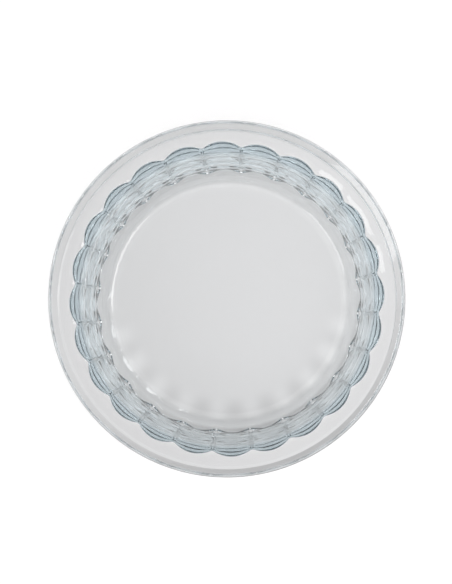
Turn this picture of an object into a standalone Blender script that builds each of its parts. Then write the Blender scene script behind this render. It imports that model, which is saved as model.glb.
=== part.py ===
"""Clear glass ramekin: one pressed piece with fluted lobes under a plain flared collar.

Metres, +Z up. The origin is the centre of the foot, on the surface that the dish stands on.

A turned blank gives the topology of the whole dish: the well, the collar, the lip, the heel and the foot.
The flutes are then pressed into its outside. Every radial half-plane through the dish cuts it in an
outline of the same points, and only the depth of the flute at that angle tells one outline from another.
"""
import math

import bpy
from mathutils import Vector

MM = 0.001

# Overall
RIM_DIAMETER = 100.0 * MM
HEIGHT = 45.0 * MM

# Lip: the rounded edge round the mouth, with an underside that falls a little towards the collar
LIP_WIDTH = 2.9 * MM
LIP_HEIGHT = 2.3 * MM
LIP_OUTER_ROUND = 1.2 * MM
LIP_INNER_ROUND = 0.9 * MM
LIP_UNDERSIDE_ROUND = 0.8 * MM
LIP_UNDERSIDE_WIDTH = 2.4 * MM
LIP_UNDERSIDE_SLOPE = math.radians(20.0)
LIP_TO_COLLAR_ROUND = 0.8 * MM

# Collar: the plain band that flares out to the lip. Flares and drafts are angles from the upright.
COLLAR_OVERHANG = 5.0 * MM
COLLAR_OUTER_FLARE = math.radians(55.0)
COLLAR_INNER_FLARE = math.radians(50.0)
COLLAR_BEND = 9.0 * MM

# Wall: convex lobes outside, and a smooth round inside
FLUTES = 24
FLUTE_DEPTH_AT_COLLAR = 1.4 * MM
FLUTE_DEPTH_AT_HEEL = 1.7 * MM
FLUTE_DEPTH_AT_FOOT = 1.5 * MM
ARCH_ROUND = 0.6 * MM
VALLEY_BLEND = 0.6 * MM
WALL_IN_VALLEYS = 2.0 * MM
WALL_DRAFT = math.radians(4.5)

# Base: a flat well, a heel that rounds under to the foot's land, and a shallow push-up inside the land
WELL_FLOOR_THICKNESS = 4.0 * MM
WELL_FILLET = 6.0 * MM
HEEL_HEIGHT = 4.0 * MM
HEEL_WIDTH = 3.0 * MM
FOOT_LAND = 2.2 * MM
PUSH_UP_SLOPE = 1.6 * MM
PUSH_UP_HEIGHT = 0.8 * MM

# Facets
COLUMNS_PER_FLUTE = 8
LIP_STEPS = 2
CORNER_STEPS = 1
BEND_STEPS = 4
FILLET_STEPS = 5
HEEL_STEPS = 3
SHARP_EDGE = math.radians(40.0)
MERGE_DISTANCE = 0.001 * MM

GLASS_COLOUR = (0.80, 0.90, 0.92, 1.0)
GLASS_ROUGHNESS = 0.03
GLASS_IOR = 1.473


def along(angle):
    """Direction up a surface that leans outwards by this angle from the upright, as (radius, height)."""
    return Vector((math.sin(angle), math.cos(angle)))


def rounded(before, corner, after, radius, steps):
    """Arc of this radius that touches the two straight lines which meet at the corner."""
    towards_before = (before - corner).normalized()
    towards_after = (after - corner).normalized()
    half_angle = towards_before.angle(towards_after) / 2
    centre = corner + (towards_before + towards_after).normalized() * radius / math.sin(half_angle)
    start = (corner + towards_before * radius / math.tan(half_angle) - centre).normalized()
    end = (corner + towards_after * radius / math.tan(half_angle) - centre).normalized()
    return [centre + start.slerp(end, step / steps) * radius for step in range(steps + 1)]


def lobe_drop(across):
    """Fall of a lobe's round face below its crest: 0 on the crest, 1 at the lobe's edge (across 1)."""
    half_width = math.pi / FLUTES * (RIM_DIAMETER / 2 - COLLAR_OVERHANG)
    face_radius = (half_width ** 2 + FLUTE_DEPTH_AT_COLLAR ** 2) / (2 * FLUTE_DEPTH_AT_COLLAR)
    reach = min(across * half_width, face_radius)
    return (face_radius - math.sqrt(face_radius ** 2 - reach ** 2)) / FLUTE_DEPTH_AT_COLLAR


def flute_cut(angle):
    """How far the outside is cut back at this angle: 0 on a crest, and close to 1 in a blended valley."""
    half_pitch = math.pi / FLUTES
    across = abs((angle + half_pitch) % (2 * half_pitch) - half_pitch) / half_pitch
    this_lobe = lobe_drop(across)
    next_lobe = lobe_drop(2 - across)
    blend = VALLEY_BLEND / FLUTE_DEPTH_AT_COLLAR
    share = min(0.5 + 0.5 * (next_lobe - this_lobe) / blend, 1.0)
    return next_lobe * (1 - share) + this_lobe * share - blend * share * (1 - share)


def inside_outline():
    """From the middle of the well's floor, up the round inside, to the lip's inner edge."""
    rim = RIM_DIAMETER / 2
    floor_centre = Vector((0.0, WELL_FLOOR_THICKNESS))
    lip_edge = Vector((rim - LIP_WIDTH, HEIGHT))
    lip_top = Vector((rim, HEIGHT))
    bend_radius = rim - COLLAR_OVERHANG - FLUTE_DEPTH_AT_COLLAR - WALL_IN_VALLEYS
    collar_run = (lip_edge.x - bend_radius) / math.sin(COLLAR_INNER_FLARE)
    bend = lip_edge - along(COLLAR_INNER_FLARE) * collar_run
    wall_run = (bend.y - WELL_FLOOR_THICKNESS) / math.cos(WALL_DRAFT)
    wall_foot = bend - along(WALL_DRAFT) * wall_run
    return (
        [floor_centre]
        + rounded(floor_centre, wall_foot, bend, WELL_FILLET, FILLET_STEPS)
        + rounded(wall_foot, bend, lip_edge, COLLAR_BEND, BEND_STEPS)
        + rounded(bend, lip_edge, lip_top, LIP_INNER_ROUND, LIP_STEPS)
    )


def outside_outline(cut):
    """From the lip's outer edge down to the middle of the foot, where a flute is cut in by this much."""
    rim = RIM_DIAMETER / 2
    lip_top = Vector((rim - LIP_WIDTH, HEIGHT))
    lip_edge = Vector((rim, HEIGHT))
    lip_foot = Vector((rim, HEIGHT - LIP_HEIGHT))
    underside_fall = LIP_UNDERSIDE_WIDTH * math.tan(LIP_UNDERSIDE_SLOPE)
    collar_edge = lip_foot - Vector((LIP_UNDERSIDE_WIDTH, underside_fall))
    collar_run = (COLLAR_OVERHANG - LIP_UNDERSIDE_WIDTH) / math.sin(COLLAR_OUTER_FLARE)
    crest_top = collar_edge - along(COLLAR_OUTER_FLARE) * collar_run

    # A flute runs up until it meets the collar's underside. In a valley that is lower and further in,
    # so that each lobe ends in an arch.
    meeting_slope = math.tan(COLLAR_OUTER_FLARE) - math.tan(WALL_DRAFT)
    arch_fall = FLUTE_DEPTH_AT_COLLAR * cut / meeting_slope
    arch = crest_top - along(COLLAR_OUTER_FLARE) * arch_fall / math.cos(COLLAR_OUTER_FLARE)

    crest_foot_radius = crest_top.x - (crest_top.y - HEEL_HEIGHT) * math.tan(WALL_DRAFT)
    wall_foot = Vector((crest_foot_radius - FLUTE_DEPTH_AT_HEEL * cut, HEEL_HEIGHT))

    # The heel is a quarter of an ellipse, and the flutes run down it to the foot's land.
    land_outer_radius = crest_foot_radius - HEEL_WIDTH
    foot_radius = land_outer_radius - FLUTE_DEPTH_AT_FOOT * cut
    heel = []
    for step in range(HEEL_STEPS + 1):
        angle = math.pi / 2 * step / HEEL_STEPS
        radius = foot_radius + (wall_foot.x - foot_radius) * math.cos(angle)
        heel.append(Vector((radius, HEEL_HEIGHT * (1 - math.sin(angle)))))

    land_inner_radius = land_outer_radius - FOOT_LAND
    foot = [
        Vector((land_inner_radius, 0.0)),
        Vector((land_inner_radius - PUSH_UP_SLOPE, PUSH_UP_HEIGHT)),
        Vector((0.0, PUSH_UP_HEIGHT)),
    ]
    return (
        rounded(lip_top, lip_edge, lip_foot, LIP_OUTER_ROUND, LIP_STEPS)
        + rounded(lip_edge, lip_foot, collar_edge, LIP_UNDERSIDE_ROUND, LIP_STEPS)
        + rounded(lip_foot, collar_edge, crest_top, LIP_TO_COLLAR_ROUND, CORNER_STEPS)
        + rounded(collar_edge, arch, wall_foot, ARCH_ROUND, CORNER_STEPS)
        + heel
        + foot
    )


def outline(cut):
    return inside_outline() + outside_outline(cut)


def glass_material():
    material = bpy.data.materials.new("clear_glass")
    material.use_nodes = True
    shader = material.node_tree.nodes["Principled BSDF"]
    shader.inputs["Base Color"].default_value = GLASS_COLOUR
    shader.inputs["Roughness"].default_value = GLASS_ROUGHNESS
    shader.inputs["Metallic"].default_value = 0.0
    shader.inputs["IOR"].default_value = GLASS_IOR
    shader.inputs["Transmission Weight"].default_value = 1.0
    return material


def turned_blank(collection):
    """The dish before its flutes are pressed: the outline through a crest, turned all the way round."""
    points = outline(0.0)
    mesh = bpy.data.meshes.new("blank_outline")
    corners = [(point.x, 0.0, point.y) for point in points]
    mesh.from_pydata(corners, [(index, index + 1) for index in range(len(points) - 1)], [])
    place = mesh.attributes.new("place_in_outline", "INT", "POINT")
    place.data.foreach_set("value", list(range(len(points))))
    blank = bpy.data.objects.new("blank", mesh)
    collection.objects.link(blank)

    screw = blank.modifiers.new("turn", "SCREW")
    screw.axis = "Z"
    screw.angle = 2 * math.pi
    screw.steps = FLUTES * COLUMNS_PER_FLUTE
    screw.render_steps = screw.steps
    screw.use_merge_vertices = True
    screw.merge_threshold = MERGE_DISTANCE
    return blank


def press_flutes(mesh):
    """Move each point of the turned blank to its place in the outline at its own angle."""
    column_angle = 2 * math.pi / (FLUTES * COLUMNS_PER_FLUTE)
    outlines = [outline(flute_cut(column * column_angle)) for column in range(COLUMNS_PER_FLUTE)]
    places = mesh.attributes["place_in_outline"].data
    for vertex, place in zip(mesh.vertices, places):
        column = round(math.atan2(vertex.co.y, vertex.co.x) / column_angle)
        point = outlines[column % COLUMNS_PER_FLUTE][place.value]
        angle = column * column_angle
        vertex.co = (point.x * math.cos(angle), point.x * math.sin(angle), point.y)


def make_dish(collection):
    blank = turned_blank(collection)
    depsgraph = bpy.context.evaluated_depsgraph_get()
    mesh = bpy.data.meshes.new_from_object(blank.evaluated_get(depsgraph))
    bpy.data.objects.remove(blank)
    press_flutes(mesh)
    mesh.attributes.remove(mesh.attributes["place_in_outline"])
    mesh.name = "glass_body"
    mesh.materials.append(glass_material())
    mesh.shade_smooth()
    mesh.set_sharp_from_angle(angle=SHARP_EDGE)
    dish = bpy.data.objects.new("glass_body", mesh)
    collection.objects.link(dish)


def main():
    for leftover in list(bpy.data.objects):
        bpy.data.objects.remove(leftover)
    collection = bpy.data.collections.new("ramekin")
    bpy.context.scene.collection.children.link(collection)
    make_dish(collection)


main()
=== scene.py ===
"""Looks of the clear fluted glass ramekin: its pressed body, its glass, a pale floor and soft light."""
import math

import bpy
from mathutils import Matrix, Vector


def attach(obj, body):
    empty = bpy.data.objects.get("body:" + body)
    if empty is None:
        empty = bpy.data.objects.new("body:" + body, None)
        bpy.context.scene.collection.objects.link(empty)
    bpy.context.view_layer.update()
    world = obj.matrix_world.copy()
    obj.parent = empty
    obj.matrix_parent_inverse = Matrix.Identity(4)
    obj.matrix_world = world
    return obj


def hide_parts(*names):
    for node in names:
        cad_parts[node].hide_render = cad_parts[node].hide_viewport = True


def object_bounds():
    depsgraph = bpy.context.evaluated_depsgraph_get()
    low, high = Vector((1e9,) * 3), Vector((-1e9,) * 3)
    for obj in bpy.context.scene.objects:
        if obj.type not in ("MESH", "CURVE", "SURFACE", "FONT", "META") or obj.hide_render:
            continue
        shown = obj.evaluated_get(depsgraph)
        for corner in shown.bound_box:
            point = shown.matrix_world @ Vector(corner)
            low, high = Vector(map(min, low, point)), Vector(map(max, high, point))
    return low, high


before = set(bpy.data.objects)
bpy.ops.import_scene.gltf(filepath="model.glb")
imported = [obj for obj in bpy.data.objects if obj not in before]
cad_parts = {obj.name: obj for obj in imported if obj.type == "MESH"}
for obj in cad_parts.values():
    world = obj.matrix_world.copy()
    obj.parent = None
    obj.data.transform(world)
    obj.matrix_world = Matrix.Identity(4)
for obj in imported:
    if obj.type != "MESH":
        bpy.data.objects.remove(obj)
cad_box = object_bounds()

MM = 0.001
WHITE = (1.0, 1.0, 1.0, 1.0)

# The photograph's frame, and the circle of the rim in it, in pixels
PHOTO_WIDTH = 452
PHOTO_HEIGHT = 584
RIM_CENTRE_X = 226.5
RIM_CENTRE_Y = 298.6
RIM_RADIUS_IN_PHOTO = 179.0

# The body's sizes, as the solid has them. Flares and drafts are angles from the upright.
RIM_RADIUS = (cad_box[1][0] - cad_box[0][0]) / 2
HEIGHT = cad_box[1][2]
LIP_WIDTH = 2.9 * MM
LIP_HEIGHT = 2.3 * MM
LIP_OUTER_ROUND = 1.2 * MM
LIP_INNER_ROUND = 0.9 * MM
LIP_UNDERSIDE_ROUND = 0.8 * MM
LIP_UNDERSIDE_WIDTH = 2.4 * MM
LIP_UNDERSIDE_SLOPE = math.radians(20.0)
LIP_TO_COLLAR_ROUND = 0.8 * MM
COLLAR_OVERHANG = 5.0 * MM
COLLAR_OUTER_FLARE = math.radians(55.0)
COLLAR_INNER_FLARE = math.radians(50.0)
COLLAR_BEND = 9.0 * MM
FLUTES = 24
FLUTE_DEPTH_AT_COLLAR = 1.4 * MM
FLUTE_DEPTH_AT_HEEL = 1.7 * MM
FLUTE_DEPTH_AT_FOOT = 1.5 * MM
ARCH_ROUND = 0.6 * MM
VALLEY_BLEND = 0.6 * MM
WALL_IN_VALLEYS = 2.0 * MM
WALL_DRAFT = math.radians(4.5)
WELL_FLOOR_THICKNESS = 4.0 * MM
WELL_FILLET = 6.0 * MM
HEEL_HEIGHT = 4.0 * MM
HEEL_WIDTH = 3.0 * MM
FOOT_LAND = 2.2 * MM
PUSH_UP_SLOPE = 1.6 * MM
PUSH_UP_HEIGHT = 0.8 * MM

# Finer than the solid: a crease in the mould along the arches, soft edges on the foot's land, and a plunger
# that sat a little off the mould's middle when it pressed the inside
CREASE_DEPTH = 0.06 * MM
FOOT_LAND_ROUND = 1.0 * MM
PLUNGER_OFFSET = 0.25 * MM
PLUNGER_DIRECTION = math.radians(265.0)

# Facets
COLUMNS_PER_FLUTE = 24
LIP_STEPS = 8
BEND_STEPS = 14
FILLET_STEPS = 14
ARCH_STEPS = 8
WALL_STEPS = 8
HEEL_STEPS = 12
MERGE_DISTANCE = 0.0001 * MM

GLASS_IOR = 1.473
GLASS_ABSORPTION_COLOUR = (0.40, 0.66, 0.77, 1.0)
GLASS_ABSORPTION_PER_METRE = 12.0

# Ripples in the glass's surface: full in the wall, and faint in the base and under the collar
RIPPLE_SCALE = 110.0
RIPPLE_DETAIL = 1.0
RIPPLE_ROUGHNESS = 0.45
RIPPLE_HEIGHT = 0.05 * MM
RIPPLE_FROM_RADIUS = 35.0 * MM
RIPPLE_FULL_RADIUS = 38.0 * MM
RIPPLE_IN_BASE = 0.2
RIPPLE_TOP = 24.0 * MM
RIPPLE_FADE = 8.0 * MM
RIPPLE_IN_COLLAR = 0.15

# Smears left by hands and cloths, as patches of roughness
SMEAR_SCALE = 45.0
SMEAR_DETAIL = 4.0
SMEAR_ROUGHNESS = 0.6
SMEAR_DEPTH = 0.08

FLOOR_COLOUR = (0.355, 0.345, 0.352, 1.0)
FLOOR_SIZE = 3.0
FLOOR_GAP = 0.05 * MM
FLOOR_LIFT = 0.80

# What the sheet adds in the glass, by distance from the dish's axis, as shares of LIFT_SPAN.
# It dips in a painted contact shade under the foot, and falls off far from the dish as painted shade.
LIFT_SPAN = 250.0 * MM
LIFT_IN_GLASS = (
    (0.0, 0.55),
    (0.140, 0.55),
    (0.152, 0.525),
    (0.168, 0.525),
    (0.184, 0.54),
    (0.4, 0.54),
    (0.88, 0.10),
)

# Painted light: in the glass, the sheet is a little brighter on the right than on the left
SLOPE_DIRECTION = (0.94, 0.34, 0.0)
SLOPE_PER_METRE = 1.0
SLOPE_REACH = 35.0 * MM

# Painted shades of the dish on the sheet, seen only in the glass, each to one side: its depth, how narrow it
# is, the side, and its ring
SIDE_SHADES = (
    (0.10, 1.0, (-0.17, 0.985, 0.0), ((0.15, 0.0), (0.158, 1.0), (0.17, 1.0), (0.18, 0.0))),
    (0.22, 1.0, (0.34, -0.94, 0.0), ((0.157, 0.0), (0.162, 1.0), (0.172, 1.0), (0.179, 0.0))),
    (0.10, 3.0, (0.0, -1.0, 0.0), ((0.115, 0.0), (0.132, 1.0), (0.147, 1.0), (0.155, 0.0))),
)

# Painted soft spots of light on the sheet, seen only in the glass, one through each flute of the front half.
# They fan out from SPOTS_MIDDLE.
SPOTS_RING = ((0.115, 0.0), (0.128, 1.0), (0.142, 1.0), (0.149, 0.0))
SPOTS_MIDDLE = (0.0, 4.7 * MM, 0.0)
SPOTS_TURN = math.radians(8.4)
SPOTS_LEVEL = 0.03
SPOTS_DEPTH = 0.055
SPOTS_SIDE = (0.0, -1.0, 0.0)
SPOTS_FADE = 2.5

# How bright the room is by the height of a direction, from the horizon, 0, to straight above, 1
ROOM_FULL = 2.0
ROOM_LEVELS = (
    (0.0, 0.04),
    (0.12, 0.04),
    (0.15, 1.15),
    (0.3, 1.15),
    (0.35, 0.05),
    (0.65, 0.05),
    (0.8, 0.7),
    (0.9, 1.6),
    (0.985, 1.6),
    (0.995, 0.6),
)

# A dark card on one side of the room, which the lip shows
CARD_DIRECTION = (-0.34, 0.94, 0.0)
CARD_DEPTH = 0.8

# Each softbox's name, its angle from straight above and its compass angle, its width, its length round
# the dish, and its watts
SOFTBOX_DISTANCE = 0.7
SOFTBOXES = (
    ("right_softbox", math.radians(20.0), math.radians(338.0), 0.10, 0.22, 0.45),
    ("left_softbox", math.radians(36.0), math.radians(208.0), 0.14, 0.26, 0.45),
)

CAMERA_DISTANCE = 650.0 * MM
CAMERA_LEAN = (10.0 * MM, -9.3 * MM)
CAMERA_ROLL = math.radians(-2.0)
SENSOR_WIDTH = 36.0
CLIP_START = 0.01
CLIP_END = 10.0

# For how many bounces light is followed. A path that is still in the glass by then stays dark.
MOST_BOUNCES = 14


class Wire:
    """An output socket that takes part in Python arithmetic, which adds Math nodes."""

    def __init__(self, tree, socket):
        self.tree = tree
        self.socket = socket

    def beside(self, name):
        """Another output of the same node."""
        return Wire(self.tree, self.socket.node.outputs[name])

    def maths(self, operation, first, second=0.0):
        return self.tree.add("ShaderNodeMath", {"operation": operation}, {0: first, 1: second})

    def __add__(self, other):
        return self.maths("ADD", self, other)

    def __sub__(self, other):
        return self.maths("SUBTRACT", self, other)

    def __mul__(self, other):
        return self.maths("MULTIPLY", self, other)

    def __truediv__(self, other):
        return self.maths("DIVIDE", self, other)

    def __pow__(self, other):
        return self.maths("POWER", self, other)

    def __mod__(self, other):
        return self.maths("FLOORED_MODULO", self, other)

    def __radd__(self, other):
        return self.maths("ADD", other, self)

    def __rsub__(self, other):
        return self.maths("SUBTRACT", other, self)

    def __rmul__(self, other):
        return self.maths("MULTIPLY", other, self)

    def __rtruediv__(self, other):
        return self.maths("DIVIDE", other, self)

    def __abs__(self):
        return self.maths("ABSOLUTE", self)

    def at_most(self, other):
        return self.maths("MINIMUM", self, other)

    def at_least(self, other):
        return self.maths("MAXIMUM", self, other)

    def floor(self):
        return self.maths("FLOOR", self)

    def sine(self):
        return self.maths("SINE", self)

    def cosine(self):
        return self.maths("COSINE", self)

    def root(self):
        return self.maths("SQRT", self)


class Tree:
    """A node tree of a material, a world or a modifier, to which one method adds every node."""

    def __init__(self, tree):
        self.tree = tree

    def add(self, kind, settings=None, sockets=None, output=0):
        """Add a node: its settings first, then its sockets' values or wires. Gives its output as a wire."""
        node = self.tree.nodes.new(kind)
        for name, value in (settings or {}).items():
            if name == "stops":
                self.set_stops(node.color_ramp.elements, value)
            else:
                setattr(node, name, value)
        for name, value in (sockets or {}).items():
            socket = self.find(node.inputs, name)
            if isinstance(value, Wire):
                self.tree.links.new(value.socket, socket)
            else:
                socket.default_value = value
        if not node.outputs:
            return node
        return Wire(self, self.find(node.outputs, output))

    def find(self, sockets, name):
        """A socket by its place, its identifier or its name."""
        if isinstance(name, int):
            return sockets[name]
        for socket in sockets:
            if socket.identifier == name:
                return socket
        return sockets[name]

    def set_stops(self, elements, stops):
        """Set a colour ramp's stops. A new ramp has two, so the rest are added."""
        while len(elements) < len(stops):
            elements.new(1.0)
        for element, (position, colour) in zip(elements, stops):
            element.position = position
            element.color = colour

    def ramp(self, levels, position):
        """A number that follows these (position, level) pairs, straight from one to the next."""
        stops = [(stop, (level, level, level, 1.0)) for stop, level in levels]
        return self.add("ShaderNodeValToRGB", {"stops": stops}, {0: position})

    def noise(self, place, scale, detail, roughness):
        sockets = {"Vector": place, "Scale": scale, "Detail": detail, "Roughness": roughness}
        return self.add("ShaderNodeTexNoise", {"noise_dimensions": "3D"}, sockets, "Fac")

    def length(self, vector):
        return self.add("ShaderNodeVectorMath", {"operation": "LENGTH"}, {0: vector}, "Value")

    def towards(self, vector, direction):
        """How far a vector goes in a direction: their dot product."""
        sockets = {0: vector, 1: direction}
        return self.add("ShaderNodeVectorMath", {"operation": "DOT_PRODUCT"}, sockets, "Value")


def along(angle):
    """Direction up a surface that leans outwards by this angle from the upright, as (radius, height)."""
    return Vector((math.sin(angle), math.cos(angle)))


def rounded(before, corner, after, radius, steps):
    """Arc of this radius that touches the two straight lines which meet at the corner."""
    towards_before = (before - corner).normalized()
    towards_after = (after - corner).normalized()
    half_angle = towards_before.angle(towards_after) / 2
    centre = corner + (towards_before + towards_after).normalized() * radius / math.sin(half_angle)
    start = (corner + towards_before * radius / math.tan(half_angle) - centre).normalized()
    end = (corner + towards_after * radius / math.tan(half_angle) - centre).normalized()
    return [centre + start.slerp(end, step / steps) * radius for step in range(steps + 1)]


def creased(arc, corner):
    """The arc, sunk towards its corner by the crease's depth in the middle and by nothing at its ends."""
    inwards = (corner - (arc[0] + arc[-1]) / 2).normalized()
    last = len(arc) - 1
    return [
        point + inwards * CREASE_DEPTH * math.sin(math.pi * step / last)
        for step, point in enumerate(arc)
    ]


def inside_outline():
    """From the middle of the well's floor, up the round inside, to the lip's inner edge."""
    floor_centre = Vector((0.0, WELL_FLOOR_THICKNESS))
    lip_edge = Vector((RIM_RADIUS - LIP_WIDTH, HEIGHT))
    lip_top = Vector((RIM_RADIUS, HEIGHT))
    bend_radius = RIM_RADIUS - COLLAR_OVERHANG - FLUTE_DEPTH_AT_COLLAR - WALL_IN_VALLEYS
    collar_run = (lip_edge.x - bend_radius) / math.sin(COLLAR_INNER_FLARE)
    bend = lip_edge - along(COLLAR_INNER_FLARE) * collar_run
    wall_run = (bend.y - WELL_FLOOR_THICKNESS) / math.cos(WALL_DRAFT)
    wall_foot = bend - along(WALL_DRAFT) * wall_run
    return (
        [floor_centre]
        + rounded(floor_centre, wall_foot, bend, WELL_FILLET, FILLET_STEPS)
        + rounded(wall_foot, bend, lip_edge, COLLAR_BEND, BEND_STEPS)
        + rounded(bend, lip_edge, lip_top, LIP_INNER_ROUND, LIP_STEPS)
    )


def outside_outline(cut):
    """From the lip's outer edge down to the middle of the foot, where a flute is cut in by this much."""
    lip_top = Vector((RIM_RADIUS - LIP_WIDTH, HEIGHT))
    lip_edge = Vector((RIM_RADIUS, HEIGHT))
    lip_foot = Vector((RIM_RADIUS, HEIGHT - LIP_HEIGHT))
    underside_fall = LIP_UNDERSIDE_WIDTH * math.tan(LIP_UNDERSIDE_SLOPE)
    collar_edge = lip_foot - Vector((LIP_UNDERSIDE_WIDTH, underside_fall))
    collar_run = (COLLAR_OVERHANG - LIP_UNDERSIDE_WIDTH) / math.sin(COLLAR_OUTER_FLARE)
    crest_top = collar_edge - along(COLLAR_OUTER_FLARE) * collar_run

    # A flute runs up until it meets the collar's underside, which gives each lobe its arched top
    meeting_slope = math.tan(COLLAR_OUTER_FLARE) - math.tan(WALL_DRAFT)
    arch_fall = FLUTE_DEPTH_AT_COLLAR * cut / meeting_slope
    arch = crest_top - along(COLLAR_OUTER_FLARE) * arch_fall / math.cos(COLLAR_OUTER_FLARE)
    crest_foot_radius = crest_top.x - (crest_top.y - HEEL_HEIGHT) * math.tan(WALL_DRAFT)
    wall_foot = Vector((crest_foot_radius - FLUTE_DEPTH_AT_HEEL * cut, HEEL_HEIGHT))
    arch_round = creased(rounded(collar_edge, arch, wall_foot, ARCH_ROUND, ARCH_STEPS), arch)
    wall = [arch_round[-1].lerp(wall_foot, step / WALL_STEPS) for step in range(1, WALL_STEPS + 1)]

    # The heel is a quarter of an ellipse, and the flutes run down it to the foot's land
    foot_radius = crest_foot_radius - HEEL_WIDTH - FLUTE_DEPTH_AT_FOOT * cut
    heel = []
    for step in range(1, HEEL_STEPS):
        angle = math.pi / 2 * step / HEEL_STEPS
        radius = foot_radius + (wall_foot.x - foot_radius) * math.cos(angle)
        heel.append(Vector((radius, HEEL_HEIGHT * (1 - math.sin(angle)))))

    land_outer = Vector((foot_radius, 0.0))
    land_inner = Vector((crest_foot_radius - HEEL_WIDTH - FOOT_LAND, 0.0))
    push_up_edge = Vector((land_inner.x - PUSH_UP_SLOPE, PUSH_UP_HEIGHT))
    push_up_centre = Vector((0.0, PUSH_UP_HEIGHT))
    return (
        rounded(lip_top, lip_edge, lip_foot, LIP_OUTER_ROUND, LIP_STEPS)
        + rounded(lip_edge, lip_foot, collar_edge, LIP_UNDERSIDE_ROUND, LIP_STEPS)
        + rounded(lip_foot, collar_edge, crest_top, LIP_TO_COLLAR_ROUND, ARCH_STEPS)
        + arch_round
        + wall
        + heel
        + [land_outer]
        + rounded(land_outer, land_inner, push_up_edge, FOOT_LAND_ROUND, ARCH_STEPS)
        + rounded(land_inner, push_up_edge, push_up_centre, FOOT_LAND_ROUND, ARCH_STEPS)
        + [push_up_centre]
    )


def fluted_body_tree(material):
    """Geometry nodes that turn two outlines, through a crest and through a valley, into the fluted body."""
    group = bpy.data.node_groups.new("fluted_body", "GeometryNodeTree")
    sizes = (
        ("Points in an outline", "NodeSocketInt"),
        ("Flutes", "NodeSocketInt"),
        ("Columns in a flute", "NodeSocketInt"),
        ("Lobe half width", "NodeSocketFloat"),
        ("Lobe depth", "NodeSocketFloat"),
        ("Valley blend", "NodeSocketFloat"),
        ("Merge distance", "NodeSocketFloat"),
        ("Plunger offset", "NodeSocketVector"),
    )
    for name, kind in (("Outlines", "NodeSocketGeometry"),) + sizes:
        group.interface.new_socket(name, in_out="INPUT", socket_type=kind)
    group.interface.new_socket("Body", in_out="OUTPUT", socket_type="NodeSocketGeometry")

    tree = Tree(group)
    outlines = tree.add("NodeGroupInput", output="Outlines")
    points, flutes, columns_in_flute, half_width, depth, valley_blend, merge_distance, plunger_offset = (
        outlines.beside(name) for name, kind in sizes
    )

    # One column of the grid for each outline, and one row for each point of an outline
    columns = flutes * columns_in_flute
    grid = tree.add("GeometryNodeMeshGrid", {}, {"Vertices X": columns + 1, "Vertices Y": points}, "Mesh")
    index = tree.add("GeometryNodeInputIndex")
    column = (index / points).floor()
    row = index % points
    turn = column / columns

    # The lobes: arcs of a circle side by side, with a soft valley between two of them
    across = abs((turn * flutes + 0.5) % 1.0 - 0.5) * 2.0
    face_radius = (half_width * half_width + depth * depth) / (depth * 2.0)

    def drop(share_of_lobe):
        reach = (share_of_lobe * half_width).at_most(face_radius)
        return (face_radius - (face_radius * face_radius - reach * reach).root()) / depth

    this_lobe = drop(across)
    next_lobe = drop(2.0 - across)
    blend = valley_blend / depth
    share = (0.5 + (next_lobe - this_lobe) / blend * 0.5).at_most(1.0)
    cut = next_lobe * (1.0 - share) + this_lobe * share - blend * share * (1.0 - share)

    # Each point lies between its places in the two outlines, turned to its column's angle
    position = tree.add("GeometryNodeInputPosition")

    def sampled(kind, value, point):
        settings = {"data_type": kind, "domain": "POINT"}
        sockets = {"Geometry": outlines, "Value": value, "Index": point}
        return tree.add("GeometryNodeSampleIndex", settings, sockets)

    place = tree.add(
        "ShaderNodeMix",
        {"data_type": "VECTOR", "clamp_factor": False},
        {
            "Factor_Float": cut,
            "A_Vector": sampled("FLOAT_VECTOR", position, row),
            "B_Vector": sampled("FLOAT_VECTOR", position, row + points),
        },
        "Result_Vector",
    )
    radius = tree.add("ShaderNodeSeparateXYZ", {}, {0: place}, "X")
    angle = turn * (2 * math.pi)
    new_position = tree.add(
        "ShaderNodeCombineXYZ",
        {},
        {"X": radius * angle.cosine(), "Y": radius * angle.sine(), "Z": radius.beside("Z")},
    )

    # The inside is shifted as a whole, as far as the plunger was
    pressed_by_plunger = tree.add(
        "GeometryNodeInputNamedAttribute",
        {"data_type": "FLOAT"},
        {"Name": "pressed_by_plunger"},
        "Attribute",
    )
    offset = tree.add(
        "ShaderNodeVectorMath",
        {"operation": "SCALE"},
        {0: plunger_offset, "Scale": sampled("FLOAT", pressed_by_plunger, row)},
        "Vector",
    )
    moved = tree.add(
        "GeometryNodeSetPosition",
        {},
        {"Geometry": grid, "Position": new_position, "Offset": offset},
    )
    closed = tree.add("GeometryNodeMergeByDistance", {}, {"Geometry": moved, "Distance": merge_distance})
    outwards = tree.add("GeometryNodeFlipFaces", {}, {"Mesh": closed})
    smooth = tree.add("GeometryNodeSetShadeSmooth", {}, {"Geometry": outwards})
    real = tree.add("GeometryNodeRealizeInstances", {}, {"Geometry": smooth})
    dressed = tree.add("GeometryNodeSetMaterial", {}, {"Geometry": real, "Material": material})
    tree.add("NodeGroupOutput", {}, {"Body": dressed})
    return group


def plain_mesh(ob, name):
    """The evaluated object as a plain mesh object with no modifier."""
    depsgraph = bpy.context.evaluated_depsgraph_get()
    mesh = bpy.data.meshes.new_from_object(ob.evaluated_get(depsgraph))
    mesh.name = name
    bpy.data.objects.remove(ob)
    result = bpy.data.objects.new(name, mesh)
    bpy.context.scene.collection.objects.link(result)
    return result


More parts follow.
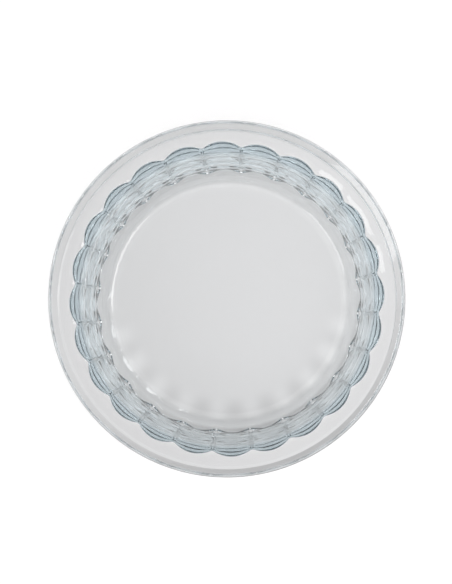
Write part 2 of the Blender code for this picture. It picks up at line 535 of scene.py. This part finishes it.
def glass_body(material):
    """The whole dish, fluted by the rule in its geometry nodes."""
    inside = inside_outline()
    outside = outside_outline(0.0)
    crest = inside + outside
    valley = inside + outside_outline(1.0)
    mesh = bpy.data.meshes.new("outlines")
    mesh.from_pydata([(point.x, 0.0, point.y) for point in crest + valley], [], [])
    pressed = mesh.attributes.new("pressed_by_plunger", "FLOAT", "POINT")
    share = [1.0] * len(inside) + [0.0] * len(outside)
    pressed.data.foreach_set("value", share + share)
    ob = bpy.data.objects.new("outlines", mesh)
    bpy.context.scene.collection.objects.link(ob)
    plunger_x = PLUNGER_OFFSET * math.cos(PLUNGER_DIRECTION)
    plunger_y = PLUNGER_OFFSET * math.sin(PLUNGER_DIRECTION)
    modifier = ob.modifiers.new("flutes", "NODES")
    modifier.node_group = fluted_body_tree(material)
    values = {
        "Points in an outline": len(crest),
        "Flutes": FLUTES,
        "Columns in a flute": COLUMNS_PER_FLUTE,
        "Lobe half width": math.pi / FLUTES * (RIM_RADIUS - COLLAR_OVERHANG),
        "Lobe depth": FLUTE_DEPTH_AT_COLLAR,
        "Valley blend": VALLEY_BLEND,
        "Merge distance": MERGE_DISTANCE,
        "Plunger offset": (plunger_x, plunger_y, 0.0),
    }
    for item in modifier.node_group.interface.items_tree:
        if item.item_type == "SOCKET" and item.name in values:
            modifier[item.identifier] = values[item.name]
    return plain_mesh(ob, "fluted_glass")


def new_material(name):
    """An empty material, and its tree."""
    material = bpy.data.materials.new(name)
    material.use_nodes = True
    material.node_tree.nodes.clear()
    return material, Tree(material.node_tree)


def clear_glass():
    """Pressed clear glass: ripples left by the mould, faint smears, and a cool tint where it is thick."""
    material, tree = new_material("clear_glass")
    place = tree.add("ShaderNodeTexCoord", output="Object")
    level_place = tree.add(
        "ShaderNodeVectorMath",
        {"operation": "MULTIPLY"},
        {0: place, 1: (1.0, 1.0, 0.0)},
        "Vector",
    )
    radius = tree.length(level_place)
    height = tree.add("ShaderNodeSeparateXYZ", {}, {"Vector": place}, "Z")
    into_wall = (radius - RIPPLE_FROM_RADIUS) / (RIPPLE_FULL_RADIUS - RIPPLE_FROM_RADIUS)
    in_wall = into_wall.at_least(RIPPLE_IN_BASE).at_most(1.0)
    below_collar = ((RIPPLE_TOP - height) / RIPPLE_FADE).at_least(RIPPLE_IN_COLLAR).at_most(1.0)
    waves = tree.noise(place, RIPPLE_SCALE, RIPPLE_DETAIL, RIPPLE_ROUGHNESS) - 0.5
    ripple = {"Height": waves * in_wall * below_collar, "Distance": RIPPLE_HEIGHT}
    bump = tree.add("ShaderNodeBump", {}, ripple, "Normal")
    smear = tree.noise(place, SMEAR_SCALE, SMEAR_DETAIL, SMEAR_ROUGHNESS) - 0.5
    glass = tree.add(
        "ShaderNodeBsdfPrincipled",
        {},
        {
            "Base Color": WHITE,
            "Roughness": smear.at_least(0.0) * SMEAR_DEPTH,
            "IOR": GLASS_IOR,
            "Transmission Weight": 1.0,
            "Normal": bump,
        },
    )
    tint = tree.add(
        "ShaderNodeVolumeAbsorption",
        {},
        {"Color": GLASS_ABSORPTION_COLOUR, "Density": GLASS_ABSORPTION_PER_METRE},
    )
    tree.add("ShaderNodeOutputMaterial", {}, {"Surface": glass, "Volume": tint})
    return material


def light_spots(tree, place, outwards):
    """Painted light that the flutes would gather on the sheet: brighter and darker by turns, round the front
    half.
    """
    sockets = {0: place, 1: SPOTS_MIDDLE}
    from_middle = tree.add("ShaderNodeVectorMath", {"operation": "SUBTRACT"}, sockets, "Vector")
    sideways = tree.add("ShaderNodeSeparateXYZ", {}, {0: from_middle}, "X")
    angle = sideways.maths("ARCTAN2", sideways.beside("Y"), sideways)
    wave = ((angle - SPOTS_TURN) * FLUTES).cosine() * SPOTS_DEPTH + SPOTS_LEVEL
    front = (tree.towards(outwards, SPOTS_SIDE) * SPOTS_FADE).at_least(0.0).at_most(1.0)
    return wave * front


def background_lift(tree):
    """What the sheet adds to the background that the camera sees, straight and through or off the glass. In
    the glass it holds painted shades, painted spots of light and a painted brighter side.
    """
    camera = tree.add("ShaderNodeLightPath", output="Is Camera Ray")
    in_or_off_glass = camera.beside("Is Glossy Ray").at_least(camera.beside("Is Transmission Ray"))
    place = tree.add("ShaderNodeTexCoord", output="Object")
    outwards = tree.add("ShaderNodeVectorMath", {"operation": "NORMALIZE"}, {0: place}, "Vector")
    distance = tree.length(place) / LIFT_SPAN

    # Painted shades of the dish, each to one side
    shade = 0.0
    for depth, narrowness, side, ring in SIDE_SHADES:
        lean = tree.towards(outwards, side).at_least(0.0)
        shade = tree.ramp(ring, distance) * lean ** narrowness * depth + shade
    spots = light_spots(tree, place, outwards) * tree.ramp(SPOTS_RING, distance)
    across = tree.towards(place, SLOPE_DIRECTION)
    slope = across.at_least(-SLOPE_REACH).at_most(SLOPE_REACH) * SLOPE_PER_METRE
    # Painted light and shade, seen only in or off the glass
    in_glass = tree.ramp(LIFT_IN_GLASS, distance) + slope + spots - shade
    return camera * FLOOR_LIFT + in_or_off_glass * in_glass.at_least(0.0)


def pale_floor():
    """A matt sheet. The lift brings its lit surface up to white, and keeps the dish's shadow on it. In the
    glass, the lift also holds painted shade and painted light.
    """
    material, tree = new_material("floor_sheet")
    matt = tree.add("ShaderNodeBsdfDiffuse", {}, {"Color": FLOOR_COLOUR})
    lift = tree.add("ShaderNodeEmission", {}, {"Color": background_lift(tree), "Strength": 1.0})
    surface = tree.add("ShaderNodeAddShader", {}, {0: matt, 1: lift})
    tree.add("ShaderNodeOutputMaterial", {}, {"Surface": surface})
    bpy.ops.mesh.primitive_plane_add(size=FLOOR_SIZE, location=(0.0, 0.0, -FLOOR_GAP))
    floor = bpy.context.object
    floor.name = "floor_sheet"
    floor.data.materials.append(material)


def soft_room():
    """Bright bands low down and high up, dark between, dimmer overhead, and white straight to the camera."""
    world = bpy.data.worlds.new("soft_room")
    bpy.context.scene.world = world
    world.use_nodes = True
    world.node_tree.nodes.clear()
    tree = Tree(world.node_tree)
    direction = tree.add("ShaderNodeTexCoord", output="Generated")
    height = tree.add("ShaderNodeSeparateXYZ", {}, {0: direction}, "Z")
    levels = [(stop, level / ROOM_FULL) for stop, level in ROOM_LEVELS]
    lit = 1.0 - tree.towards(direction, CARD_DIRECTION).at_least(0.0) * CARD_DEPTH
    room = tree.ramp(levels, height) * lit * ROOM_FULL
    camera = tree.add("ShaderNodeLightPath", output="Is Camera Ray")
    strength = room + camera * (1.0 - room)
    light = tree.add("ShaderNodeBackground", {}, {"Color": WHITE, "Strength": strength})
    tree.add("ShaderNodeOutputWorld", {}, {"Surface": light})


def softbox(name, tilt, compass, width, length, watts):
    """A soft lamp that faces the dish."""
    light = bpy.data.lights.new(name, "AREA")
    light.shape = "RECTANGLE"
    light.size = length
    light.size_y = width
    light.energy = watts
    ob = bpy.data.objects.new(name, light)
    bpy.context.scene.collection.objects.link(ob)
    turn = Matrix.Rotation(compass + math.pi / 2, 4, "Z")
    tip = Matrix.Rotation(tilt, 4, "X")
    ob.matrix_world = turn @ tip @ Matrix.Translation((0.0, 0.0, SOFTBOX_DISTANCE))


def photo_camera():
    """A camera almost straight above the dish, leaning a little to the right and to the front."""
    camera = bpy.data.cameras.new("photo_camera")
    ob = bpy.data.objects.new("photo_camera", camera)
    bpy.context.scene.collection.objects.link(ob)
    lean = Vector((*CAMERA_LEAN, CAMERA_DISTANCE))
    back = lean.normalized()
    up = Vector((-math.sin(CAMERA_ROLL), math.cos(CAMERA_ROLL), 0.0))
    right = up.cross(back).normalized()
    ob.rotation_euler = Matrix((right, back.cross(right), back)).transposed().to_euler()
    ob.location = lean + Vector((0.0, 0.0, HEIGHT))
    camera.sensor_width = SENSOR_WIDTH
    focal_pixels = RIM_RADIUS_IN_PHOTO / RIM_RADIUS * lean.length
    camera.lens = focal_pixels * SENSOR_WIDTH / PHOTO_HEIGHT
    camera.shift_x = (PHOTO_WIDTH / 2 - RIM_CENTRE_X) / PHOTO_HEIGHT
    camera.shift_y = (RIM_CENTRE_Y - PHOTO_HEIGHT / 2) / PHOTO_HEIGHT
    camera.clip_start = CLIP_START
    camera.clip_end = CLIP_END
    bpy.context.scene.camera = ob


def dress():
    """The body, what it stands on, the light and the camera."""
    glass = glass_body(clear_glass())
    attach(glass, "root")
    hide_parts("glass_body")
    pale_floor()
    soft_room()
    for box in SOFTBOXES:
        softbox(*box)
    photo_camera()
    scene = bpy.context.scene
    scene.view_settings.view_transform = "Standard"
    scene.cycles.max_bounces = MOST_BOUNCES
    scene.cycles.transmission_bounces = MOST_BOUNCES
    scene.cycles.glossy_bounces = MOST_BOUNCES


def main():
    dress()


main()
